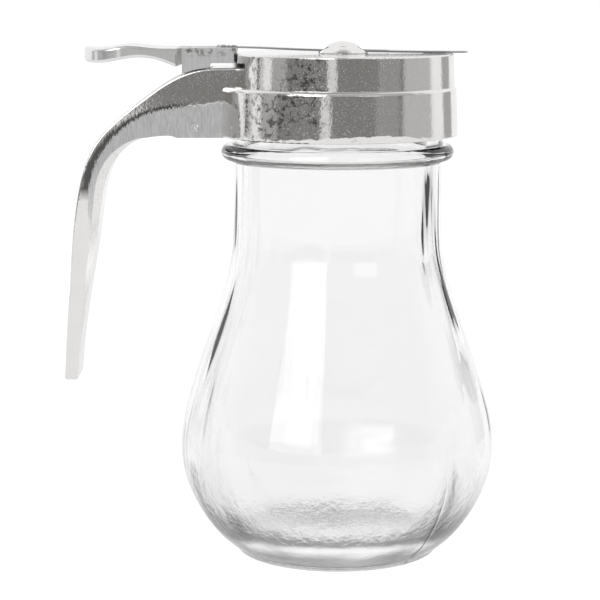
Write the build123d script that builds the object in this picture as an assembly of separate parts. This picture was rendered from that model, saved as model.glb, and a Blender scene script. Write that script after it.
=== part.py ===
from build123d import *

import math
import os

# Thumb-lever syrup dispenser: a glass jar with a screw-on cast lid whose flat slide uncovers a
# pouring hole. Millimetres. Origin: centre of the jar's foot on the table. +Z up, +X towards the
# pouring side, handle and thumb lever at -X.

# ---- driving dimensions -------------------------------------------------------------------------

# glass jar
NECK_R = 33.35              # outside of the straight neck
NECK_INNER_R = 30.4
FINISH_R = 33.6             # glass above the bead ring, inside the lid
RING_Z = 130.0              # bead ring under the lid
RING_CENTRE_R = 34.68
RING_TUBE_R = 2.46
RIM_Z = 147.2               # top of the glass
FOOT_R = 30.7               # outer edge of the flat foot
FOOT_FLAT_INNER_R = 26.0
PUNT_RISE = 3.2
FLOOR_Z = 7.6               # inside floor

# screw thread, right-hand: turning the lid counter-clockwise from above lifts it
PITCH = 4.5
JAR_THREAD_Z = 138.4
JAR_THREAD_TURNS = 1.3
JAR_THREAD_TIP_R = 35.3
LID_THREAD_TIP_R = 34.4
LID_THREAD_TURNS = 1.1
THREAD_OFFSET = 1.65        # the lid's ridge runs this far below the jar's
RIDGE_ROOT_HALF = 1.0
RIDGE_TIP_HALF = 0.45
THREAD_BURY = 0.6           # how deep a ridge is rooted in its wall

# lid
BORE_R = 36.0
LID_BOTTOM_Z = 135.2
SEAT_Z = 148.9              # underside that the gasket seals on
LEDGE_Z = 150.9             # step between the two bands
LID_TOP_Z = 161.2
CEILING_Z = 158.9
LOWER_BAND_R = 38.35        # at its bottom edge
LOWER_BAND_TOP_R = 37.8
UPPER_BAND_R = 35.6
UPPER_BAND_TOP_R = 35.25
UPPER_X = 1.7               # the upper band sits forward of the jar's axis
CAVITY_R = 30.8
LEDGE_ROUND = 1.3
BAND_ROUND = 0.5            # the casting's other outer rims

# gasket
GASKET_INNER_R = 31.0
GASKET_OUTER_R = 35.6
GASKET_GAP = 0.05
GASKET_ROUND = 0.35

# handle
CHEEK_HALF = 11.0           # half width at the root
ROOT_BOTTOM_Z = 135.0
ROOT_STEP_X = -50.8
ROOT_INNER_X = -31.0        # buried in the bands
ROOT_TOP_Z = 156.9
TIP_HALF = 8.6              # half width at the tip
TIP_Z = 57.2
BACK_ROUND = 0.6
BEVEL_EDGE_HALF = 8.0       # half width of the finger side's flat
TIP_CHAMFER = 0.5
CAVITY_FRONT_X = -41.0
CAVITY_HALF = 8.2
CAVITY_REAR_X = -66.0
SLOT_HALF = 3.1
SLOT_FRONT_X = -39.6
SLOT_REAR_X = -64.2

# slide, lever and their travel
TRAVEL = 12.0
PLATE_TIP_X = 41.3
PLATE_REAR_X = -38.4
PLATE_REAR_Z = 163.0        # underside of the strip's raised rear end
PLATE_HALF = 3.6
PLATE_T = 0.6
PLATE_CORNER_R = 1.2
SLOT_PLAY = 0.25            # between the strip's slot and the button's stem, each side
SEAT_END_X = -29.0
SEAT_SLOPE_DEG = 1.4        # the lever's seat falls towards the lid
BLOCK_TOP_Z = 163.1
BLOCK_BOTTOM_Z = 158.4
BLOCK_HALF = 10.4
BLOCK_REAR_X = -49.0
BLOCK_FRONT_X = -31.9
BOSS_FRONT_X = -40.3         # the boss under the block follows the handle behind this
BOSS_FRONT_Z = 157.1
BAND_GAP = 0.3              # between the block's hollow front and the upper band
PAD_ROUND = 0.9
PAD_HALF = 12.5
PAD_END_X = -80.4
TONGUE_HALF = 2.5
TONGUE_REAR_X = -48.6
TONGUE_FRONT_X = -42.0
TONGUE_BOTTOM_Z = 143.4

# domed button and the screw that holds it from inside the lid
DOME_R = 8.7
DOME_TOP_Z = 165.0
CHANNEL_HALF = 3.8          # bridge over the strip
CHANNEL_TOP_Z = 163.2
STEM_R = 2.2
STEM_BOTTOM_Z = 159.3
SCREW_R = 1.4
SCREW_TOP_Z = 164.1
SCREW_HEAD_R = 3.6
SCREW_HEAD_H = 1.5
SCREW_HEAD_Z = 158.1        # its bearing face
WASHER_R = 3.7
WASHER_SPLIT_HALF = 0.35
DRIVE_R = 1.15              # hexagon socket in the screw head
DRIVE_DEPTH = 0.9

# rivets that join strip and lever, heights measured from the strip's lower face
RIVET_R = 0.9
RIVET_HEAD_R = 1.55
RIVET_HEAD_H = 0.3
RIVET_FOOT = -1.2
RIVET_XS = {"lever_rivet_rear": -36.8, "lever_rivet_front": -33.5}

# cross pin and spring
PIN_X = -45.2
PIN_Z = 138.3
PIN_R = 1.3
PIN_HALF = 10.75
PIN_FIT = 0.03
PIN_CHAMFER = 0.2
PIN_DIMPLE_R = 0.7
WIRE_R = 0.5
COIL_R = 2.3                # to the wire's centre
COIL_TURNS = 6
COIL_STEP = 1.02
COIL_LOW_Y = -4.1
ARM_X = -49.2
ARM_TOP_Z = 151.5

# pouring hole
POUR_REAR_X = 27.0
POUR_FRONT_X = 34.4
POUR_HALF = 3.0
POUR_DEPTH_Z = 152.0
POUR_ROUND = 1.6

# fits: half the play between a bore and what runs or is pressed in it
RUNNING_FIT = 0.05
PRESSED_FIT = 0.02


def section(points):
    """A face in the XZ plane through the given (x, z) points."""
    return make_face(Plane.XZ * Polyline(*points, close=True))


def ring_solid(points):
    """Solid of revolution round the jar's axis."""
    return revolve(section(points), axis=Axis.Z)


def upright(radius, z_low, z_high, x=0.0):
    """Vertical round bar between two heights."""
    bar = Cylinder(radius, z_high - z_low, align=(Align.CENTER, Align.CENTER, Align.MIN))
    return Pos(x, 0, z_low) * bar


def block(x_low, x_high, half, z_low, z_high):
    """Box between two x and two z values, centred on y = 0."""
    box = Box(x_high - x_low, 2 * half, z_high - z_low, align=(Align.MIN, Align.CENTER, Align.MIN))
    return Pos(x_low, 0, z_low) * box


def slab(outline, half):
    """Solid between y = -half and y = +half from a list of edges drawn in the XZ plane."""
    face = make_face(Plane.XZ * Wire(Curve() + outline))
    return extrude(Pos(0, half, 0) * face, 2 * half, dir=(0, -1, 0))


def crossbar(radius, x, z, half):
    """Round bar along Y."""
    return Pos(x, 0, z) * Rot(90, 0, 0) * Cylinder(radius, 2 * half)


# ---- jar ----------------------------------------------------------------------------------------

def thread_ridge(wall_r, tip_r, z_start, turns):
    """Right-hand helical ridge rooted in a wall of radius wall_r, with its tip at tip_r."""
    side = 1 if tip_r > wall_r else -1
    root_r = wall_r - side * THREAD_BURY
    path = Pos(0, 0, z_start) * Helix(pitch=PITCH, height=PITCH * turns, radius=wall_r)
    profile = section([
        (root_r, z_start - RIDGE_ROOT_HALF),
        (tip_r, z_start - RIDGE_TIP_HALF),
        (tip_r, z_start + RIDGE_TIP_HALF),
        (root_r, z_start + RIDGE_ROOT_HALF),
    ])
    return sweep(profile, path=path, is_frenet=True)


def jar_outside():
    """Outer outline from the foot's flat up to the rim, as edges in the XZ plane."""
    ring_dz = math.sqrt(RING_TUBE_R ** 2 - (RING_CENTRE_R - NECK_R) ** 2)
    finish_dz = math.sqrt(RING_TUBE_R ** 2 - (RING_CENTRE_R - FINISH_R) ** 2)
    foot = Line((FOOT_FLAT_INNER_R, 0), (FOOT_R, 0))
    heel = ThreePointArc((FOOT_R, 0), (32.1, 0.55), (32.9, 1.7))
    belly = Spline(
        (32.9, 1.7), (38.8, 6.7), (45.0, 15.3), (49.6, 26.5), (50.45, 37.5), (47.6, 52.0),
        (41.9, 69.8), (36.5, 86.2), (34.0, 97.5), (NECK_R + 0.05, 108.0), (NECK_R, RING_Z - ring_dz),
        tangents=((0.83, 0.56), (0, 1)),
    )
    bead = ThreePointArc(
        (NECK_R, RING_Z - ring_dz), (RING_CENTRE_R + RING_TUBE_R, RING_Z), (FINISH_R, RING_Z + finish_dz),
    )
    finish = Line((FINISH_R, RING_Z + finish_dz), (FINISH_R, RIM_Z - 1.0))
    lip = ThreePointArc((FINISH_R, RIM_Z - 1.0), (FINISH_R - 0.3, RIM_Z - 0.3), (FINISH_R - 1.0, RIM_Z))
    return [foot, heel, belly, bead, finish, lip]


def jar_inside():
    """Inner outline from the rim down to the inside floor and the recess under the foot."""
    rim = Line((FINISH_R - 1.0, RIM_Z), (NECK_INNER_R + 0.8, RIM_Z))
    edge = ThreePointArc(
        (NECK_INNER_R + 0.8, RIM_Z), (NECK_INNER_R + 0.25, RIM_Z - 0.25), (NECK_INNER_R, RIM_Z - 0.8),
    )
    bore = Line((NECK_INNER_R, RIM_Z - 0.8), (NECK_INNER_R, 128.0))
    wall = Spline(
        (NECK_INNER_R, 128.0), (NECK_INNER_R + 0.1, 108.0), (31.2, 97.5), (33.7, 86.4), (39.0, 70.0),
        (44.6, 52.8), (47.3, 38.0),
        (46.3, 27.0), (41.5, 16.5), (33.5, 9.6), (26.0, FLOOR_Z),
        tangents=((0, -1), (-1, 0)),
    )
    floor = Line((26.0, FLOOR_Z), (0, FLOOR_Z))
    axis = Line((0, FLOOR_Z), (0, PUNT_RISE))
    punt = ThreePointArc((0, PUNT_RISE), (14.0, PUNT_RISE - 0.85), (FOOT_FLAT_INNER_R - 1.0, 0.6))
    corner = Line((FOOT_FLAT_INNER_R - 1.0, 0.6), (FOOT_FLAT_INNER_R, 0))
    return [rim, edge, bore, wall, floor, axis, punt, corner]


def glass_jar():
    outline = Plane.XZ * Wire(Curve() + jar_outside() + jar_inside())
    jar = revolve(make_face(outline), axis=Axis.Z)
    return jar + thread_ridge(FINISH_R, JAR_THREAD_TIP_R, JAR_THREAD_Z, JAR_THREAD_TURNS)


def sealing_gasket():
    low = RIM_Z + GASKET_GAP
    high = SEAT_Z - GASKET_GAP
    ring = upright(GASKET_OUTER_R, low, high) - upright(GASKET_INNER_R, low, high)
    return fillet(ring.edges().filter_by(GeomType.CIRCLE), GASKET_ROUND)


# ---- lid casting: bands, top and handle in one ---------------------------------------------------

def bands():
    lower = ring_solid([
        (0, LID_BOTTOM_Z), (LOWER_BAND_R, LID_BOTTOM_Z), (LOWER_BAND_TOP_R, LEDGE_Z), (0, LEDGE_Z),
    ])
    lower = fillet(lower.edges().filter_by(GeomType.CIRCLE).sort_by(Axis.Z)[-1], LEDGE_ROUND)
    lower = fillet(lower.edges().filter_by(GeomType.CIRCLE).sort_by(Axis.Z)[0], BAND_ROUND)
    height = LID_TOP_Z - LEDGE_Z + 1.0
    cone = Cone(UPPER_BAND_R, UPPER_BAND_TOP_R, height, align=(Align.CENTER, Align.CENTER, Align.MIN))
    upper = Pos(UPPER_X, 0, LEDGE_Z - 1.0) * cone
    upper = fillet(upper.edges().filter_by(GeomType.CIRCLE).sort_by(Axis.Z)[-1], BAND_ROUND)
    return lower + upper


HANDLE_OUTER = [
    (-36.5, ROOT_TOP_Z), (-48.5, 154.9), (-62.5, 146.3), (-75.2, 135.0), (-82.4, 116.5),
    (-85.4, 86.0), (-87.5, TIP_Z),
]
HANDLE_INNER = [
    (-83.2, TIP_Z), (-79.4, 86.5), (-75.6, 109.5), (-72.2, 124.7), (-66.0, 132.6), (-53.6, 135.7),
]


def handle_side():
    """Side outline of the handle and its root, in the XZ plane."""
    outer = Spline(*HANDLE_OUTER, tangents=((-1, 0), (-0.06, -1)))
    inner = Spline(*HANDLE_INNER, tangents=((0.06, 1), (1, 0.02)))
    tip = Line(HANDLE_OUTER[-1], HANDLE_INNER[0])
    root = Polyline(
        HANDLE_INNER[-1], (ROOT_STEP_X - 1.6, ROOT_BOTTOM_Z + 0.6), (ROOT_STEP_X, ROOT_BOTTOM_Z),
        (ROOT_INNER_X, ROOT_BOTTOM_Z), (ROOT_INNER_X, ROOT_TOP_Z), HANDLE_OUTER[0],
    )
    return [outer, tip, inner, root]


def handle_front():
    """Front outline as a long bar whose flanks draw in towards the tip."""
    outline = Polyline(
        (-CHEEK_HALF, ROOT_TOP_Z + 1), (CHEEK_HALF, ROOT_TOP_Z + 1),
        (TIP_HALF, TIP_Z - 1), (-TIP_HALF, TIP_Z - 1), close=True,
    )
    return extrude(Plane.YZ * make_face(outline), 100, both=True)


def flank_edges(face):
    """The two long edges where a curved face meets the flanks."""
    return [edge for edge in face.edges() if abs(edge.center().Y) > TIP_HALF - 1]


# (point on the finger side, width of the bevel beside it on the flank)
BEVEL_WIDTHS = [
    (-83.6, 54.5, 1.3), (-79.4, 86.5, 2.6), (-75.6, 109.5, 3.2), (-72.2, 124.7, 3.0), (-66.0, 132.6, 1.5),
    (-59.5, 135.0, 0.3),
]


def bevel_face(half):
    """Face at y = half beyond which the finger side is cut away; its line shifts with half."""
    share = (half - BEVEL_EDGE_HALF) / (CHEEK_HALF - 0.5 - BEVEL_EDGE_HALF)
    line = [(x - 0.9 * width * share, z + 0.45 * width * share) for x, z, width in BEVEL_WIDTHS]
    edge = Spline(*line)
    rest = Polyline(line[-1], (line[-1][0] + 1, 128.0), (-70.0, 50.0), (line[0][0] + 3, 50.0), line[0])
    face = make_face(Plane.XZ * Wire(Curve() + [edge, rest]))
    return Pos(0, half, 0) * face


def finger_bevel():
    """Wedge that takes the corner off the finger side of the flank at +Y, widest at mid height."""
    return loft([bevel_face(BEVEL_EDGE_HALF - 1.5), bevel_face(CHEEK_HALF + 1.5)], ruled=True)


def handle_solid():
    handle = slab(handle_side(), CHEEK_HALF + 2) & handle_front()
    back = handle.faces().filter_by(GeomType.EXTRUSION).sort_by(Axis.X)[0]
    handle = fillet(flank_edges(back), BACK_ROUND)
    handle = chamfer(handle.faces().sort_by(Axis.Z)[0].edges(), TIP_CHAMFER)
    bevel = finger_bevel()
    return handle - bevel - mirror(bevel, about=Plane.XZ)


def handle_hollow():
    """Room in the root for the spring and the lever's tongue, open underneath."""
    outline = [
        Line((CAVITY_FRONT_X, ROOT_BOTTOM_Z - 2), (CAVITY_FRONT_X, 153.9)),
        Spline((CAVITY_FRONT_X, 153.9), (-47.5, 152.7), (-58.0, 146.6), (CAVITY_REAR_X, 140.9)),
        Line((CAVITY_REAR_X, 140.9), (CAVITY_REAR_X + 2.0, 130.0)),
        Line((CAVITY_REAR_X + 2.0, 130.0), (CAVITY_FRONT_X, ROOT_BOTTOM_Z - 2)),
    ]
    return slab(outline, CAVITY_HALF)


def pouring_hole():
    """Upright hole near the front rim, which cuts a lip in the front wall."""
    hole = block(POUR_REAR_X, POUR_FRONT_X, POUR_HALF, POUR_DEPTH_Z, LID_TOP_Z + 1)
    return fillet(hole.edges().filter_by(Axis.Z), POUR_ROUND)


def lid_casting():
    casting = bands() + handle_solid()
    casting -= upright(BORE_R, LID_BOTTOM_Z - 2, SEAT_Z)
    casting -= upright(CAVITY_R, SEAT_Z - 1, CEILING_Z)
    casting -= handle_hollow()
    casting -= block(SLOT_REAR_X, SLOT_FRONT_X, SLOT_HALF, 144.6, LID_TOP_Z)
    casting -= crossbar(PIN_R + PIN_FIT, PIN_X, PIN_Z, CHEEK_HALF + 1)
    casting -= pouring_hole()
    casting -= upright(STEM_R + RUNNING_FIT, CEILING_Z - 1, LID_TOP_Z + 1, UPPER_X)
    return casting + thread_ridge(
        BORE_R, LID_THREAD_TIP_R, JAR_THREAD_Z - THREAD_OFFSET, LID_THREAD_TURNS,
    )


# ---- slide: strip, lever and rivets ---------------------------------------------------------------

def seat(shape):
    """Lay a shape built on z = 0, with x as on the lid, onto the lever's sloping seat."""
    place = Pos(PLATE_REAR_X, 0, PLATE_REAR_Z) * Rot(0, SEAT_SLOPE_DEG, 0)
    return place * Pos(-PLATE_REAR_X, 0, 0) * shape


def plate_side():
    """Side outline of the strip: straight on the lever's seat, then bending down to the lid."""
    slope = math.tan(math.radians(SEAT_SLOPE_DEG))
    seat_end_z = PLATE_REAR_Z - (SEAT_END_X - PLATE_REAR_X) * slope
    under = [(SEAT_END_X, seat_end_z), (-12.0, 162.1), (9.0, 161.6), (27.0, 161.36), (PLATE_TIP_X, 161.3)]
    over = [(x, z + PLATE_T) for x, z in reversed(under)]
    start = Line((PLATE_REAR_X, PLATE_REAR_Z), under[0])
    end = Line(over[-1], (PLATE_REAR_X, PLATE_REAR_Z + PLATE_T))
    back = Line((PLATE_REAR_X, PLATE_REAR_Z + PLATE_T), (PLATE_REAR_X, PLATE_REAR_Z))
    low = Spline(*under, tangents=((1, -slope), (1, 0)))
    high = Spline(*over, tangents=((-1, 0), (-1, slope)))
    return [start, low, Line(under[-1], over[0]), high, end, back]


def slide_plate():
    strip = slab(plate_side(), PLATE_HALF)
    plan = block(PLATE_REAR_X, PLATE_TIP_X, PLATE_HALF, 160, 166)
    plan = fillet(plan.edges().filter_by(Axis.Z).group_by(Axis.X)[-1], PLATE_HALF - 0.3)
    plan = fillet(plan.edges().filter_by(Axis.Z).group_by(Axis.X)[0], PLATE_CORNER_R)
    strip &= plan
    reach = STEM_R + 2 * SLOT_PLAY
    slot = block(UPPER_X - reach, UPPER_X + TRAVEL + reach, STEM_R + SLOT_PLAY, 160, 166)
    strip -= fillet(slot.edges().filter_by(Axis.Z), STEM_R + 0.8 * SLOT_PLAY)
    for x in RIVET_XS.values():
        strip -= seat(upright(RIVET_R + PRESSED_FIT, -1, 2, x))
    return strip


def lever_side():
    """Side outline of the lever: dished pad, block, and the boss that stands over the handle."""
    beyond = PAD_END_X - 2      # the plan, not this outline, shapes the pad's end
    top = Spline(
        (beyond, 163.8), (-73.5, 163.0), (-66.5, 163.9), (-60.0, 163.5), (-52.0, BLOCK_TOP_Z),
        tangents=((1, -0.2), (1, 0)),
    )
    block_side = Polyline(
        (-52.0, BLOCK_TOP_Z), (BLOCK_FRONT_X, BLOCK_TOP_Z), (BLOCK_FRONT_X, BLOCK_BOTTOM_Z),
        (BOSS_FRONT_X, BLOCK_BOTTOM_Z), (BOSS_FRONT_X - 0.3, BOSS_FRONT_Z), (-44.5, 156.5),
        (BLOCK_REAR_X, 155.2), (BLOCK_REAR_X, 158.1),
        (BLOCK_REAR_X - 1.9, 157.4),
    )
    under = Spline(
        (BLOCK_REAR_X - 1.9, 157.4), (-56.5, 159.4), (-63.5, 160.2), (-72.0, 158.8), (beyond, 158.9),
        tangents=((-1, 0.35), (-1, 0.1)),
    )
    return [top, block_side, under, Line((beyond, 158.9), (beyond, 163.8))]


def lever_plan():
    """Plan of the lever: wide pad with a half round end, narrowing in a short chamfer to the block."""
    shoulder = BLOCK_REAR_X - 1.9
    side_x = PAD_END_X + PAD_HALF
    pad_end = ThreePointArc((side_x, -PAD_HALF), (PAD_END_X, 0), (side_x, PAD_HALF))
    near = Polyline((side_x, PAD_HALF), (shoulder, PAD_HALF), (BLOCK_REAR_X, BLOCK_HALF))
    front = Polyline(
        (BLOCK_REAR_X, BLOCK_HALF), (BLOCK_FRONT_X, BLOCK_HALF),
        (BLOCK_FRONT_X, -BLOCK_HALF), (BLOCK_REAR_X, -BLOCK_HALF),
    )
    far = Polyline((BLOCK_REAR_X, -BLOCK_HALF), (shoulder, -PAD_HALF), (side_x, -PAD_HALF))
    return make_face(Wire(Curve() + [pad_end, near, front, far]))


def pad_edges(lever):
    """Long edges round the pad's top and underside."""
    return [
        edge for edge in lever.edges()
        if edge.center().X < BLOCK_REAR_X - 2 and edge.bounding_box().size.Z < 3 and edge.length > 5
    ]


def thumb_lever():
    plan = extrude(Pos(0, 0, 150) * lever_plan(), 20, dir=(0, 0, 1))
    lever = slab(lever_side(), PAD_HALF + 1) & plan
    lever = fillet(pad_edges(lever), PAD_ROUND)
    lever -= upright(UPPER_BAND_R + BAND_GAP, 150, LID_TOP_Z + 0.3, UPPER_X)
    lever += block(TONGUE_REAR_X, TONGUE_FRONT_X, TONGUE_HALF, TONGUE_BOTTOM_Z, BLOCK_BOTTOM_Z + 1)
    lever -= seat(block(PLATE_REAR_X - 0.4, 0, PLATE_HALF + 0.2, 0, 5))
    for x in RIVET_XS.values():
        lever -= seat(upright(RIVET_R + PRESSED_FIT, RIVET_FOOT, 1, x))
    return lever


def lever_rivet(x):
    """Low domed head on the strip, shank through strip and lever."""
    shank = upright(RIVET_R, RIVET_FOOT, PLATE_T, x)
    head = upright(RIVET_HEAD_R, PLATE_T, PLATE_T + RIVET_HEAD_H, x)
    head = fillet(head.edges().filter_by(GeomType.CIRCLE).sort_by(Axis.Z)[-1], RIVET_HEAD_H - 0.1)
    return seat(shank + head)


# ---- button and its fixings ------------------------------------------------------------------------

def dome_button():
    """Domed cap bridging the strip, with a stem that runs in the strip's slot."""
    crown = ThreePointArc((0, DOME_TOP_Z), (3.2, DOME_TOP_Z - 0.5), (5.6, DOME_TOP_Z - 1.7))
    flank = ThreePointArc((5.6, DOME_TOP_Z - 1.7), (7.4, DOME_TOP_Z - 2.75), (DOME_R, LID_TOP_Z + 0.15))
    rest = Polyline((DOME_R, LID_TOP_Z + 0.15), (DOME_R, LID_TOP_Z), (0, LID_TOP_Z), (0, DOME_TOP_Z))
    dome = revolve(make_face(Plane.XZ * Wire(Curve() + [crown, flank, rest])), axis=Axis.Z)
    dome = Pos(UPPER_X, 0, 0) * dome
    dome -= block(UPPER_X - 20, UPPER_X + 20, CHANNEL_HALF, LID_TOP_Z - 1, CHANNEL_TOP_Z)
    dome += upright(STEM_R, STEM_BOTTOM_Z, CHANNEL_TOP_Z + 0.5, UPPER_X)
    return dome - upright(SCREW_R + PRESSED_FIT, STEM_BOTTOM_Z - 1, SCREW_TOP_Z + 0.1, UPPER_X)


def button_screw():
    shank = upright(SCREW_R, SCREW_HEAD_Z, SCREW_TOP_Z, UPPER_X)
    head = upright(SCREW_HEAD_R, SCREW_HEAD_Z - SCREW_HEAD_H, SCREW_HEAD_Z, UPPER_X)
    head = fillet(head.edges().filter_by(GeomType.CIRCLE).sort_by(Axis.Z)[0], 0.7)
    low = SCREW_HEAD_Z - SCREW_HEAD_H - 1
    drive = Pos(UPPER_X, 0, low) * extrude(RegularPolygon(DRIVE_R, 6), DRIVE_DEPTH + 1)
    return shank + head - drive


def lock_washer():
    """Split ring between the screw head and the underside of the lid's top."""
    ring = upright(WASHER_R, SCREW_HEAD_Z, CEILING_Z, UPPER_X)
    ring -= upright(STEM_R + 2 * RUNNING_FIT, SCREW_HEAD_Z - 1, CEILING_Z + 1, UPPER_X)
    return ring - block(UPPER_X, UPPER_X + 10, WASHER_SPLIT_HALF, SCREW_HEAD_Z - 1, CEILING_Z + 1)


# ---- cross pin and return spring -------------------------------------------------------------------

def cross_pin():
    pin = crossbar(PIN_R, PIN_X, PIN_Z, PIN_HALF)
    pin = chamfer(pin.edges().filter_by(GeomType.CIRCLE), PIN_CHAMFER)
    for side in (-1, 1):
        pin -= Pos(PIN_X, side * (PIN_HALF + 0.3), PIN_Z) * Sphere(PIN_DIMPLE_R)
    return pin


def wire(points):
    """Round wire through (x, y, z) points, one straight bar after another with ball joints."""
    bars = Pos(*points[0]) * Sphere(WIRE_R)
    for start, end in zip(points, points[1:]):
        span = Vector(*end) - Vector(*start)
        plane = Plane(origin=start, z_dir=span)
        bar = Cylinder(WIRE_R, span.length, align=(Align.CENTER, Align.CENTER, Align.MIN))
        bars += plane * bar
        bars += Pos(*end) * Sphere(WIRE_R)
    return bars


def return_spring():
    """Torsion spring on the cross pin: tight coil, one arm behind the tongue, one on the front wall."""
    rings = COIL_TURNS + 1
    first_y = COIL_LOW_Y
    coil = crossbar(COIL_R + 0.3, PIN_X, PIN_Z, (rings - 1) * COIL_STEP / 2)
    coil -= crossbar(COIL_R - 0.3, PIN_X, PIN_Z, rings)
    coil = Pos(0, first_y + (rings - 1) * COIL_STEP / 2, 0) * coil
    for turn in range(rings):
        ring = Pos(PIN_X, first_y + turn * COIL_STEP, PIN_Z) * Rot(90, 0, 0) * Torus(COIL_R, WIRE_R)
        coil += ring
    last_y = first_y + (rings - 1) * COIL_STEP
    moving = wire([(PIN_X - COIL_R, last_y, PIN_Z), (ARM_X, last_y, 143.0), (ARM_X, last_y, ARM_TOP_Z)])
    low_z = PIN_Z - COIL_R
    fixed = wire([(PIN_X, first_y, low_z), (CAVITY_FRONT_X - WIRE_R - RUNNING_FIT, first_y, low_z)])
    return coil + moving + fixed


PARTS = {
    "glass_jar": glass_jar,
    "sealing_gasket": sealing_gasket,
    "lid_casting": lid_casting,
    "dome_button": dome_button,
    "button_screw": button_screw,
    "lock_washer": lock_washer,
    "cross_pin": cross_pin,
    "return_spring": return_spring,
    "slide_plate": slide_plate,
    "thumb_lever": thumb_lever,
}


def main():
    os.makedirs("parts", exist_ok=True)
    shapes = {name: make() for name, make in PARTS.items()}
    for name, x in RIVET_XS.items():
        shapes[name] = lever_rivet(x)
    for name, shape in shapes.items():
        print(name, round(shape.volume, 1), shape.is_valid, len(shape.solids()))
        export_step(shape, f"parts/{name}.step")


main()
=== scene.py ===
"""Looks of the thumb-lever syrup dispenser: clear pressed glass jar, chromed cast lid and handle."""

import math

import bpy
import numpy as np
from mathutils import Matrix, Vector, noise


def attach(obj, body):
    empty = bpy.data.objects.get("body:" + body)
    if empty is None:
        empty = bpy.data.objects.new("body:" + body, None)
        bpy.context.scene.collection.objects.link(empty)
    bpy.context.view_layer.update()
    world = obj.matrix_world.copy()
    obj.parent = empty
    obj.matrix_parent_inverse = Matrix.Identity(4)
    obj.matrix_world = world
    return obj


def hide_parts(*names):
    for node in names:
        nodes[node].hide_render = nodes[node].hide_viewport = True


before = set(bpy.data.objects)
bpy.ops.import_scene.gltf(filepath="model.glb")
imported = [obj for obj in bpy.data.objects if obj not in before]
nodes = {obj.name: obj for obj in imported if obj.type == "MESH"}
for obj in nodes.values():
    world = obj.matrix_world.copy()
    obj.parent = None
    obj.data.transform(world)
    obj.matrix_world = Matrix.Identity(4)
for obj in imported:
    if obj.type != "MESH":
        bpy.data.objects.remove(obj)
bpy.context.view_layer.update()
MM = 0.001


# ---- shader helpers ------------------------------------------------------------------------------

class Shader:
    """A material's node tree, with short calls for the nodes used here."""

    def __init__(self, name):
        self.material = bpy.data.materials.new(name)
        self.material.use_nodes = True
        self.tree = self.material.node_tree
        self.surface = self.tree.nodes["Principled BSDF"]
        self.place = self.node("ShaderNodeTexCoord").outputs["Object"]

    def node(self, kind, **settings):
        made = self.tree.nodes.new(kind)
        for key, value in settings.items():
            setattr(made, key, value)
        return made

    def feed(self, socket, value):
        if isinstance(value, bpy.types.NodeSocket):
            self.tree.links.new(value, socket)
        else:
            socket.default_value = value

    def math(self, operation, a, b=0.0, c=0.0):
        made = self.node("ShaderNodeMath", operation=operation)
        for socket, value in zip(made.inputs, (a, b, c)):
            self.feed(socket, value)
        return made.outputs[0]

    def axes(self):
        made = self.node("ShaderNodeSeparateXYZ")
        self.feed(made.inputs[0], self.place)
        return made.outputs

    def stretched(self, scale, turn=(0, 0, 0)):
        made = self.node("ShaderNodeMapping")
        self.feed(made.inputs["Vector"], self.place)
        made.inputs["Scale"].default_value = scale
        made.inputs["Rotation"].default_value = turn
        return made.outputs[0]

    def noise(self, scale, detail=2.0, roughness=0.5, vector=None, distortion=0.0):
        made = self.node("ShaderNodeTexNoise")
        self.feed(made.inputs["Vector"], vector or self.place)
        made.inputs["Scale"].default_value = scale
        made.inputs["Detail"].default_value = detail
        made.inputs["Roughness"].default_value = roughness
        made.inputs["Distortion"].default_value = distortion
        return made.outputs["Fac"]

    def spread(self, value, low, high, to_low=0.0, to_high=1.0):
        made = self.node("ShaderNodeMapRange")
        self.feed(made.inputs["Value"], value)
        for name, number in (("From Min", low), ("From Max", high), ("To Min", to_low), ("To Max", to_high)):
            self.feed(made.inputs[name], number)
        return made.outputs[0]

    def mix(self, amount, a, b):
        made = self.node("ShaderNodeMix", data_type="RGBA")
        self.feed(made.inputs["Factor"], amount)
        self.feed(made.inputs["A"], a)
        self.feed(made.inputs["B"], b)
        return made.outputs["Result"]

    def bump(self, height, distance, onto=None):
        made = self.node("ShaderNodeBump")
        made.inputs["Strength"].default_value = 1.0
        made.inputs["Distance"].default_value = distance
        self.feed(made.inputs["Height"], height)
        if onto is not None:
            self.feed(made.inputs["Normal"], onto)
        return made.outputs[0]

    def set(self, **values):
        for name, value in values.items():
            self.feed(self.surface.inputs[name.replace("_", " ")], value)


def grey(value, warm=0.0):
    return (value * (1 + warm), value, value * (1 - warm), 1)


# ---- materials -----------------------------------------------------------------------------------

# lengths and places in this section are in millimetres, slopes are plain ratios

# the ground cheek meets the crowned back of the handle along a circle, then a nearly level line
TURN_X, TURN_Z, TURN_R = -49, 114.5, 30.1
LINE_Z, LINE_SLOPE = 144.6, 0.13
RAGGED = 0.8                    # how far scratches carry that line up or down
ROOT_FRONT_X = -31.5
# the crown's lean fades out between these heights, down the handle
TAIL_LOW_Z, TAIL_HIGH_Z = 115, 119
CROWN_SLOPE = 0.06
# the line of painted edge shade: where it starts and is full along x, and its width at the top and at the
# tail
EDGE_SHADE_START_X, EDGE_SHADE_FULL_X = -46, -52
EDGE_SHADE_TOP_Z, EDGE_SHADE_TAIL_Z = 144, 128
EDGE_SHADE_TOP_WIDTH, EDGE_SHADE_TAIL_WIDTH = 1.3, 5.0
# the flank's painted dark reflection gives way to a lighter, painted sheen between these heights
DARK_FLANK_Z, LIGHT_FLANK_Z = 126, 108
FOOT_Z, FOOT_RIPPLE, FOOT_SLOPE, BAND_REAR_X = 137.0, 1.8, 0.06, -38.4
# centre along x and reach of the painted dark reflection on the bands
REFLECTION_STRETCH_X, REFLECTION_STRETCH_REACH = -16, 15
WAVE_DEPTH, PEBBLE_DEPTH, SCRATCH_DEPTH = 0.012, 0.03, 0.05


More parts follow.
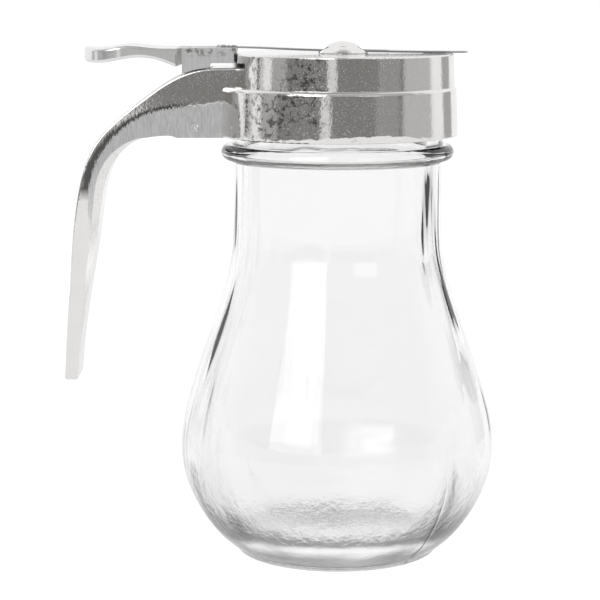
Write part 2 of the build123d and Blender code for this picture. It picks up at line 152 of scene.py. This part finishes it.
def above_cheek(s, x, z):
    """Distance in metres above the line where the ground cheek ends, negative on the cheek."""
    across = s.math("SUBTRACT", x, TURN_X * MM)
    up = s.math("SUBTRACT", z, TURN_Z * MM)
    radius = s.math("SQRT", s.math("ADD", s.math("POWER", across, 2.0), s.math("POWER", up, 2.0)))
    curved = s.math("SUBTRACT", radius, TURN_R * MM)
    level = s.math("SUBTRACT", s.math("SUBTRACT", z, LINE_Z * MM), s.math("MULTIPLY", across, LINE_SLOPE))
    behind = s.math("LESS_THAN", across, 0.0)
    return s.math("ADD", s.math("MULTIPLY", curved, behind),
                  s.math("MULTIPLY", level, s.math("SUBTRACT", 1.0, behind)))


def chrome_casting():
    """Chrome over a zinc casting: polished bands, crowned handle back, belt-ground flat cheeks."""
    s = Shader("chrome_casting")
    x, _, z = s.axes()
    facing = s.node("ShaderNodeSeparateXYZ")
    s.feed(facing.inputs[0], s.place.node.outputs["Normal"])
    flank = s.math("GREATER_THAN", s.math("ABSOLUTE", facing.outputs["Y"]), 0.97)
    root = s.math("LESS_THAN", x, ROOT_FRONT_X * MM)
    tail = s.spread(z, TAIL_LOW_Z * MM, TAIL_HIGH_Z * MM)
    handle = s.math("MULTIPLY", s.math("MULTIPLY", flank, root), tail)
    scratches = s.noise(2600, 4, 0.7, s.stretched((1.0, 0.2, 0.13), (0, math.radians(-9), 0)), 0.4)
    above = above_cheek(s, x, z)
    ragged = s.math("ADD", above, s.spread(scratches, 0.3, 0.7, -RAGGED * MM, RAGGED * MM))
    below = s.spread(ragged, -0.2 * MM, 0.2 * MM, 1.0, 0.0)
    ground = s.math("MULTIPLY", s.math("MULTIPLY", flank, root), below)
    crown = s.math("MULTIPLY", handle, s.math("MULTIPLY", s.math("MAXIMUM", above, 0.0), -CROWN_SLOPE))
    pits = s.spread(s.noise(3800, 2, 0.6), 0.6, 0.68)
    mottle = s.noise(130, 4, 0.7)
    patches = s.spread(s.noise(38, 2, 0.5), 0.42, 0.54)
    dark_reflection_blotches = s.math("MULTIPLY", patches, s.spread(s.noise(520, 5, 0.75), 0.5, 0.58))
    # painted dark reflection: on one stretch of each upright side of the bands, dark blotches stand in for a
    # reflection broken up by the pitted plating
    away = s.math("ABSOLUTE", s.math("SUBTRACT", x, REFLECTION_STRETCH_X * MM))
    reflection_stretch = s.spread(away, REFLECTION_STRETCH_REACH * MM, 0.6 * REFLECTION_STRETCH_REACH * MM)
    upright = s.spread(s.math("ABSOLUTE", facing.outputs["Z"]), 0.5, 0.3)
    dark_reflection_blotches = s.math("MULTIPLY", dark_reflection_blotches, s.math("MULTIPLY", reflection_stretch, upright))
    # painted shade: a darker line along the edge where the crowned back meets the ground cheek
    bend = s.math("MULTIPLY", handle, s.spread(x, EDGE_SHADE_START_X * MM, EDGE_SHADE_FULL_X * MM))
    widths = (EDGE_SHADE_TOP_WIDTH * MM, EDGE_SHADE_TAIL_WIDTH * MM)
    reach = s.spread(z, EDGE_SHADE_TOP_Z * MM, EDGE_SHADE_TAIL_Z * MM, *widths)
    faded = s.spread(s.math("DIVIDE", ragged, reach), 0.35, 1.0)
    edge_shade = s.math("MULTIPLY", bend, s.math("SUBTRACT", 1.0, faded))
    # mottled plating tone, with the painted dark reflection mixed in where the blotches fall
    plating_and_reflection = s.mix(dark_reflection_blotches, s.mix(mottle, grey(0.8, 0.01), grey(0.9, 0.01)), grey(0.24, 0.01))
    polished = s.mix(edge_shade, plating_and_reflection, grey(0.1, 0.02))
    # the scratch grain is the cheek's own; above the bend its dark streaks are painted dark reflection,
    # below the bend the lighter flank is painted sheen
    fine = s.spread(z, DARK_FLANK_Z * MM, LIGHT_FLANK_Z * MM)
    cheek = s.mix(fine, s.mix(scratches, grey(0.26), grey(0.88)), s.mix(scratches, grey(0.7), grey(0.85)))
    # the lower band turns in unevenly at its foot
    turned_in = ((FOOT_Z - FOOT_RIPPLE) * MM, (FOOT_Z + FOOT_RIPPLE) * MM)
    ripple = s.spread(s.noise(34, 5, 0.62), 0.3, 0.7, *turned_in)
    foot = s.math("MAXIMUM", s.math("SUBTRACT", ripple, z), 0.0)
    band = s.math("GREATER_THAN", x, BAND_REAR_X * MM)
    normal = s.bump(crown, 1.0)
    normal = s.bump(s.math("MULTIPLY", foot, s.math("MULTIPLY", band, -FOOT_SLOPE)), 1.0, normal)
    normal = s.bump(s.noise(60, 1, 0.4), WAVE_DEPTH * MM, normal)
    normal = s.bump(s.noise(1100, 2, 0.6), PEBBLE_DEPTH * MM, normal)
    normal = s.bump(s.math("MULTIPLY", scratches, ground), SCRATCH_DEPTH * MM, normal)
    s.set(
        Base_Color=s.mix(ground, polished, cheek),
        Metallic=1.0,
        Roughness=s.math("ADD", s.math("MULTIPLY", ground, 0.25), s.spread(pits, 0, 1, 0.04, 0.3)),
        Normal=normal,
    )
    return s.material


BLOCK_REAR_X, BLOCK_FULL_X = -51, -50
# heights where the painted dark reflection on the top of the block's sides starts and is full
DARK_REFLECTION_LOW_Z, DARK_REFLECTION_HIGH_Z = 160.2, 161.6


def chrome_lever():
    """Chromed lever: polished pad, block with belt-ground sides."""
    s = Shader("chrome_lever")
    x, _, z = s.axes()
    scratches = s.noise(1500, 3, 0.6, s.stretched((1.0, 0.2, 0.06)))
    block = s.spread(x, BLOCK_REAR_X * MM, BLOCK_FULL_X * MM)
    # painted dark reflection: the top of the block's sides goes to the dim room's grey, in a broken patch
    dark_reflection_breakup = s.spread(s.noise(420, 4, 0.7), 0.5, 0.62)
    high = s.spread(z, DARK_REFLECTION_LOW_Z * MM, DARK_REFLECTION_HIGH_Z * MM)
    dark_reflection = s.math("MULTIPLY", s.math("MULTIPLY", block, dark_reflection_breakup), high)
    side = s.mix(dark_reflection, s.mix(scratches, grey(0.5), grey(0.8)), grey(0.22, 0.03))
    normal = s.bump(s.noise(90, 1, 0.4), 0.02 * MM)
    normal = s.bump(s.math("MULTIPLY", scratches, block), 0.03 * MM, normal)
    s.set(
        Base_Color=s.mix(block, s.mix(s.noise(260, 3, 0.6), grey(0.78), grey(0.9)), side),
        Metallic=1.0,
        Roughness=s.math("ADD", s.math("MULTIPLY", block, 0.16), 0.16),
        Normal=normal,
    )
    return s.material


def brushed(name, value, roughness, direction):
    """Steel with a grain: direction holds the grain's stretch along each axis."""
    s = Shader(name)
    grain = s.noise(1800, 3, 0.6, s.stretched(direction))
    s.set(
        Base_Color=s.mix(grain, grey(value * 0.8), grey(value)),
        Metallic=1.0,
        Roughness=s.spread(grain, 0, 1, roughness * 0.8, roughness * 1.2),
        Normal=s.bump(grain, 0.004 * MM),
    )
    return s.material


# height where the pebbly chill starts and where it is full, and its depth
CHILL_TOP_Z, CHILL_FULL_Z, CHILL_DEPTH = 36, 16, 0.22


def clear_glass(name, wave, depth):
    """Soda glass. wave is how many flow marks a metre holds, depth how tall they are in mm."""
    s = Shader(name)
    flow = s.noise(wave, 2, 0.5, s.stretched((1.0, 1.0, 0.3)))
    # the heel froze first against the mould and kept a fine, pebbly chill
    chill = s.spread(s.axes()[2], CHILL_TOP_Z * MM, CHILL_FULL_Z * MM)
    pebbles = s.math("MULTIPLY", s.noise(420, 4, 0.7), chill)
    s.set(
        Base_Color=grey(0.93),
        Roughness=s.math("MULTIPLY", chill, 0.03),
        IOR=1.5,
        Normal=s.bump(pebbles, CHILL_DEPTH * MM, s.bump(flow, depth * MM)),
    )
    s.surface.inputs["Transmission Weight"].default_value = 1.0
    return s.material


def rubber():
    s = Shader("gasket_rubber")
    mottle = s.noise(400, 2, 0.5)
    s.set(
        Base_Color=s.mix(mottle, grey(0.6, 0.03), grey(0.7, 0.03)),
        Roughness=0.55,
        Normal=s.bump(mottle, 0.02 * MM),
    )
    return s.material


def paint(node, material):
    for slot in nodes[node].material_slots:
        slot.material = material


def finishes():
    casting = chrome_casting()
    lever = chrome_lever()
    steel = brushed("steel_hardware", 0.8, 0.2, (1, 1, 1))
    paint("lid_casting", casting)
    paint("dome_button", casting)
    paint("thumb_lever", lever)
    paint("slide_plate", brushed("strip_steel", 0.75, 0.16, (0.06, 1, 1)))
    for name in ("button_screw", "lock_washer", "cross_pin", "lever_rivet_rear", "lever_rivet_front"):
        paint(name, steel)
    paint("return_spring", brushed("spring_steel", 0.6, 0.25, (1, 1, 1)))
    paint("sealing_gasket", rubber())


# ---- glass jar -----------------------------------------------------------------------------------

# outline points as (radius, height) in millimetres, from the heel up the outside and down the inside
OUTSIDE = [
    (32.9, 1.7), (38.8, 6.7), (45.0, 15.3), (49.6, 26.5), (50.45, 37.5), (47.6, 52.0), (41.9, 69.8),
    (36.5, 86.2), (34.0, 97.5), (33.4, 108.0), (33.35, 127.93),
]
INSIDE = [
    (30.4, 128.0), (30.5, 108.0), (31.2, 97.5), (33.7, 86.4), (39.0, 70.0), (44.6, 52.8), (47.3, 38.0),
    (46.3, 27.0), (42.0, 17.0), (35.5, 10.7), (27.5, 8.0), (19.0, 7.4),
]
INSET = 0.01                    # how far the outside is drawn in, to stay inside the CAD jar's box
HEEL_R, HEEL_ROUND = 30.7, 2.2
RIM_Z = 147.2
NECK_R = 33.35
FINISH_R = 33.6
LIP_OUTER_ROUND, LIP_INNER_ROUND = 1.2, 1.0
NECK_INNER_R = 30.4
FLOOR_R, FLOOR_Z, FLOOR_DROP = 19, 7.4, 0.3
RING_R, RING_TUBE, RING_Z = 34.68, 2.46, 130.0
THREAD_Z, THREAD_TURNS, PITCH, THREAD_TIP_R = 138.4, 1.3, 4.5, 35.3
THREAD_HALF, THREAD_FLANK, THREAD_FADE = 1.25, 0.7, 0.08
SEAM_TURNS = (math.radians(-48), math.radians(132))
SEAM_HEIGHT, SEAM_WIDTH, SEAM_TOP_Z = 0.3, math.radians(0.5), 32
AROUND = 240
# the inner wall is uneven below FLOW_TOP_Z; only the floor below FLOOR_TOP_Z rises and falls
FLOW_TOP_Z, FLOW_FADE, FLOW_LOW_Z, FLOOR_TOP_Z = 142, 20, 60, 12


def smooth_line(points, first, last, count):
    """Points along a cubic spline through the given points, with the given end directions."""
    p = np.array(points, float)
    chord = np.linalg.norm(np.diff(p, axis=0), axis=1)
    t = np.concatenate([[0], np.cumsum(chord)])
    n = len(p)
    system = np.zeros((n, n))
    right = np.zeros((n, 2))
    system[0, 0] = system[-1, -1] = 1
    right[0] = np.array(first) / np.linalg.norm(first)
    right[-1] = np.array(last) / np.linalg.norm(last)
    for i in range(1, n - 1):
        a, b = chord[i - 1], chord[i]
        system[i, i - 1], system[i, i], system[i, i + 1] = b, 2 * (a + b), a
        right[i] = 3 * (b * (p[i] - p[i - 1]) / a + a * (p[i + 1] - p[i]) / b)
    slope = np.linalg.solve(system, right)
    line = []
    for at in np.linspace(0, t[-1], count):
        i = min(int(np.searchsorted(t, at, "right")) - 1, n - 2)
        h = chord[i]
        u = (at - t[i]) / h
        line.append(
            (2 * u ** 3 - 3 * u ** 2 + 1) * p[i] + (u ** 3 - 2 * u ** 2 + u) * h * slope[i]
            + (3 * u ** 2 - 2 * u ** 3) * p[i + 1] + (u ** 3 - u ** 2) * h * slope[i + 1]
        )
    return [tuple(v) for v in line]


def arc(centre, radius, start, end, count):
    return [
        (centre[0] + radius * math.cos(a), centre[1] + radius * math.sin(a))
        for a in np.radians(np.linspace(start, end, count))
    ]


def ladder(start, end, count):
    """Evenly spaced points between two (radius, height) points, without the first."""
    return [
        tuple(np.array(start) + (np.array(end) - np.array(start)) * k / count) for k in range(1, count + 1)
    ]


def jar_outline():
    """(radius, height, wall) all round the section: wall is 0 outside, 1 inside, 2 under the foot."""
    low = -math.degrees(math.acos((NECK_R - RING_R) / RING_TUBE))
    high = math.degrees(math.acos((FINISH_R - RING_R) / RING_TUBE))
    foot = [
        (0.0, 3.2), (8.0, 2.95), (14.0, 2.35), (19.0, 1.6), (23.0, 0.95), (25.5, 0.5), (27.2, 0.18),
        (28.6, 0.0), (30.4, 0.0),
    ]
    heel = arc((HEEL_R, HEEL_ROUND), HEEL_ROUND, -85, -12, 8)
    outside = [(r - INSET, z) for r, z in smooth_line(OUTSIDE, (0.83, 0.56), (0, 1), 110)]
    bead = arc((RING_R, RING_Z), RING_TUBE, low, high, 26)[1:]
    finish = ladder(bead[-1], (FINISH_R, RIM_Z - LIP_OUTER_ROUND), 36)
    outer = (FINISH_R - LIP_OUTER_ROUND, RIM_Z - LIP_OUTER_ROUND)
    inner = (NECK_INNER_R + LIP_INNER_ROUND, RIM_Z - LIP_INNER_ROUND)
    lip = arc(outer, LIP_OUTER_ROUND, 0, 90, 7)[1:] + arc(inner, LIP_INNER_ROUND, 90, 180, 6)
    inside = ladder(lip[-1], (NECK_INNER_R, 128.2), 12) + smooth_line(INSIDE, (0, -1), (-1, 0), 110)
    base = [
        (r, FLOOR_Z - FLOOR_DROP * (1 - r / FLOOR_R) ** 2) for r in (17.0, 14.5, 12.0, 9.0, 6.0, 3.0, 0.0)
    ]
    return (
        [(r, z, 2) for r, z in foot] + [(r, z, 0) for r, z in heel + outside + bead + finish]
        + [(r, z, 1) for r, z in lip + inside + base]
    )


def thread_rise(turn, r, z):
    """How far the helical ridge lifts the finish's surface at an angle and height."""
    if r < FINISH_R - 0.01 or z < RING_Z + 3:
        return 0.0
    rise = 0.0
    for lap in range(3):
        along = turn / (2 * math.pi) + lap
        if along > THREAD_TURNS:
            continue
        fade = min(1.0, along / THREAD_FADE, (THREAD_TURNS - along) / THREAD_FADE)
        away = abs(z - THREAD_Z - PITCH * along)
        rise = max(rise, fade * max(0.0, min(1.0, (THREAD_HALF - away) / THREAD_FLANK)))
    return rise * (THREAD_TIP_R - FINISH_R)


def turns():
    """Angles of the mesh's meridians, with close ones beside the mould seams."""
    even = [2 * math.pi * k / AROUND for k in range(AROUND)]
    near = [(seam + step * SEAM_WIDTH) % (2 * math.pi) for seam in SEAM_TURNS for step in (-1, -0.4, 0.4, 1)]
    return sorted(even + near)


def seam(turn, z):
    """Height of the mould seam's fine ridge, which dies out up the belly."""
    away = min(abs((turn - at + math.pi) % (2 * math.pi) - math.pi) for at in SEAM_TURNS)
    return SEAM_HEIGHT * max(0.0, 1 - away / SEAM_WIDTH) * max(0.0, 1 - z / SEAM_TOP_Z)


def inner_flow(turn, z):
    """Uneven thickness of the inner wall: long vertical runs, finer and stronger low down."""
    spot = Vector((math.cos(turn) * 1.6, math.sin(turn) * 1.6, z * 0.012))
    wave = noise.noise(spot * 1.1) + 0.5 * noise.noise(spot * 2.7 + Vector((9, 3, 5)))
    low = max(0.0, 1 - z / FLOW_LOW_Z)
    fine = Vector((math.cos(turn) * 7, math.sin(turn) * 7, z * 0.1))
    streak = noise.noise(Vector((math.cos(turn) * 15, math.sin(turn) * 15, z * 0.02)))
    fade = min(1.0, max(0.0, (FLOW_TOP_Z - z) / FLOW_FADE))
    return (0.75 * wave + 0.07 * streak) * fade + 0.17 * low * noise.noise(fine)


def floor_rise(turn, r, z):
    """Low waves in the inside of the base."""
    if z >= FLOOR_TOP_Z:
        return 0.0
    return 0.5 * noise.noise(Vector((r * math.cos(turn), r * math.sin(turn), 0)) * 0.09)


def glass_jar():
    """The jar as one closed mesh, turned from its outline, standing in for the CAD jar."""
    outline = jar_outline()
    around = turns()
    count = len(around)
    verts, faces, walls = [], [], []
    for r, z, wall in outline:
        for turn in around if r else around[:1]:
            out = r + (thread_rise(turn, r, z) + seam(turn, z) if wall == 0 else 0.0)
            rise = z
            if wall == 1 and 0 < r and z < FLOW_TOP_Z:
                slide = min(1.0, r / 26)
                out = r + inner_flow(turn, z) * slide - 0.3 * slide
                rise = z + floor_rise(turn, r, z)
            verts.append((out * math.cos(turn) * MM, out * math.sin(turn) * MM, rise * MM))
    start = 0
    for (r0, _, _), (r1, _, wall1) in zip(outline, outline[1:]):
        size = count if r0 else 1
        for k in range(count):
            n = (k + 1) % count
            low = (start + k, start + n) if r0 else (start,)
            high = (start + size + n, start + size + k) if r1 else (start + size,)
            faces.append(low + high)
            walls.append(1 if wall1 == 1 else 0)
        start += size
    mesh = bpy.data.meshes.new("jar_glass")
    mesh.from_pydata(verts, [], faces)
    mesh.materials.append(clear_glass("glass_outside", 60, 0.05))
    mesh.materials.append(clear_glass("glass_inside", 45, 0.25))
    mesh.polygons.foreach_set("material_index", walls)
    mesh.polygons.foreach_set("use_smooth", [True] * len(faces))
    mesh.update()
    made = bpy.data.objects.new("jar_glass", mesh)
    bpy.context.scene.collection.objects.link(made)
    made.visible_shadow = False
    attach(made, "jar")
    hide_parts("glass_jar")


# ---- studio --------------------------------------------------------------------------------------

# cards round the set at eye level: (centre, half width, brightness), angles in degrees from the
# front of the set, positive towards +X; later cards stand in front of earlier ones
CARDS = [
    (-70, 10, 0.4), (-85, 6, 0.85), (-98, 2, 0.05), (-12, 5, 0.7), (50, 15, 0.3), (61, 1, 0.1),
    (82, 18, 0.5), (112, 8, 0.9), (130, 10, 0.4),
]
ROOM, WALLS, BACKDROP, TABLE, HATCH = 0.21, 0.45, 0.95, 0.88, 0.35
# elevations in degrees where each of these starts and is full
WALLS_RISE, CEILING_RISE, HATCH_RISE = (6, 4), (58, 64), (62, 72)
TABLE_EDGE_FRONT, TABLE_EDGE_BACK = -2.8, -8
# softboxes: centre, half width, lowest and highest elevation in degrees, brightness
SOFTBOXES = [(-32, 20, 4, 50, 2.0), (-30, 10, 8, 40, 3.0), (30, 12, 4, 14, 1.3), (51, 2.5, 26, 28, 2.5)]


class Sky(Shader):
    """The world's node tree: brightness by direction."""

    def __init__(self):
        self.world = bpy.data.worlds.new("studio")
        self.world.use_nodes = True
        self.tree = self.world.node_tree
        self.background = self.tree.nodes["Background"]
        self.place = self.node("ShaderNodeTexCoord").outputs["Generated"]


def card(sky, azimuth, centre, half, soft=0.8):
    """1 between centre - half and centre + half degrees of azimuth, 0 elsewhere."""
    away = sky.math("ABSOLUTE", sky.math("SUBTRACT", azimuth, math.radians(centre)))
    return sky.spread(away, math.radians(half), math.radians(half - soft))


def ramp(sky, elevation, start, full):
    """0 at the elevation start and 1 at full, in degrees."""
    return sky.spread(elevation, math.radians(start), math.radians(full))


def studio_light():
    """Dim room in front of the set, white backdrop behind it, cards, softboxes, ceiling with a hatch."""
    sky = Sky()
    x, y, z = sky.axes()
    azimuth = sky.math("ARCTAN2", x, sky.math("MULTIPLY", y, -1.0))
    elevation = sky.math("ARCSINE", z)
    behind = sky.spread(y, -0.2, 0.3)
    level = ramp(sky, elevation, *WALLS_RISE)
    front = sky.mix(level, grey(WALLS), grey(ROOM, 0.03))
    light = sky.mix(behind, front, grey(BACKDROP))
    for centre, half, brightness in CARDS:
        place = sky.math("MULTIPLY", card(sky, azimuth, centre, half), level)
        light = sky.mix(place, light, grey(brightness, 0.01))
    for centre, half, low, high, brightness in SOFTBOXES:
        above = ramp(sky, elevation, low, low + 1.5)
        below = ramp(sky, elevation, high, high - 2)
        place = sky.math("MULTIPLY", card(sky, azimuth, centre, half), sky.math("MULTIPLY", above, below))
        light = sky.mix(place, light, grey(brightness))
    light = sky.mix(ramp(sky, elevation, *CEILING_RISE), light, grey(1.0))
    light = sky.mix(ramp(sky, elevation, *HATCH_RISE), light, grey(HATCH))
    # the white table ends nearer in front of the set than behind it
    edge = sky.spread(y, -1.0, 1.0, math.radians(TABLE_EDGE_FRONT), math.radians(TABLE_EDGE_BACK))
    under = sky.math("SUBTRACT", edge, elevation)
    light = sky.mix(sky.spread(under, 0.0, math.radians(0.4)), light, grey(TABLE))
    seen = sky.node("ShaderNodeLightPath").outputs["Is Camera Ray"]
    sky.feed(sky.background.inputs["Color"], sky.mix(seen, light, grey(1.0)))
    bpy.context.scene.world = sky.world


TABLE_HALF = 8.0                # metres


def floor():
    """Pale table, lit from below so that it stays an even white under the glass."""
    half = TABLE_HALF
    mesh = bpy.data.meshes.new("floor")
    corners = [(-half, -half, 0), (half, -half, 0), (half, half, 0), (-half, half, 0)]
    mesh.from_pydata(corners, [], [(0, 1, 2, 3)])
    made = bpy.data.objects.new("floor", mesh)
    bpy.context.scene.collection.objects.link(made)
    s = Shader("floor")
    s.set(Base_Color=grey(0.2), Roughness=0.9)
    s.surface.inputs["Emission Color"].default_value = grey(1.0)
    s.surface.inputs["Emission Strength"].default_value = TABLE
    mesh.materials.append(s.material)
    made.visible_glossy = False


CAMERA_PLACE = (-0.01197, -0.700, 0.18984)
CAMERA_DOWN = 8.775             # degrees below the horizontal
LENS, SENSOR = 131.5, 36


def camera():
    data = bpy.data.cameras.new("camera")
    data.lens = LENS
    data.sensor_width = SENSOR
    made = bpy.data.objects.new("camera", data)
    bpy.context.scene.collection.objects.link(made)
    made.location = CAMERA_PLACE
    made.rotation_euler = (math.radians(90 - CAMERA_DOWN), 0, 0)
    bpy.context.scene.camera = made


camera()
finishes()
glass_jar()
studio_light()
floor()
bpy.context.scene.view_settings.view_transform = "Standard"
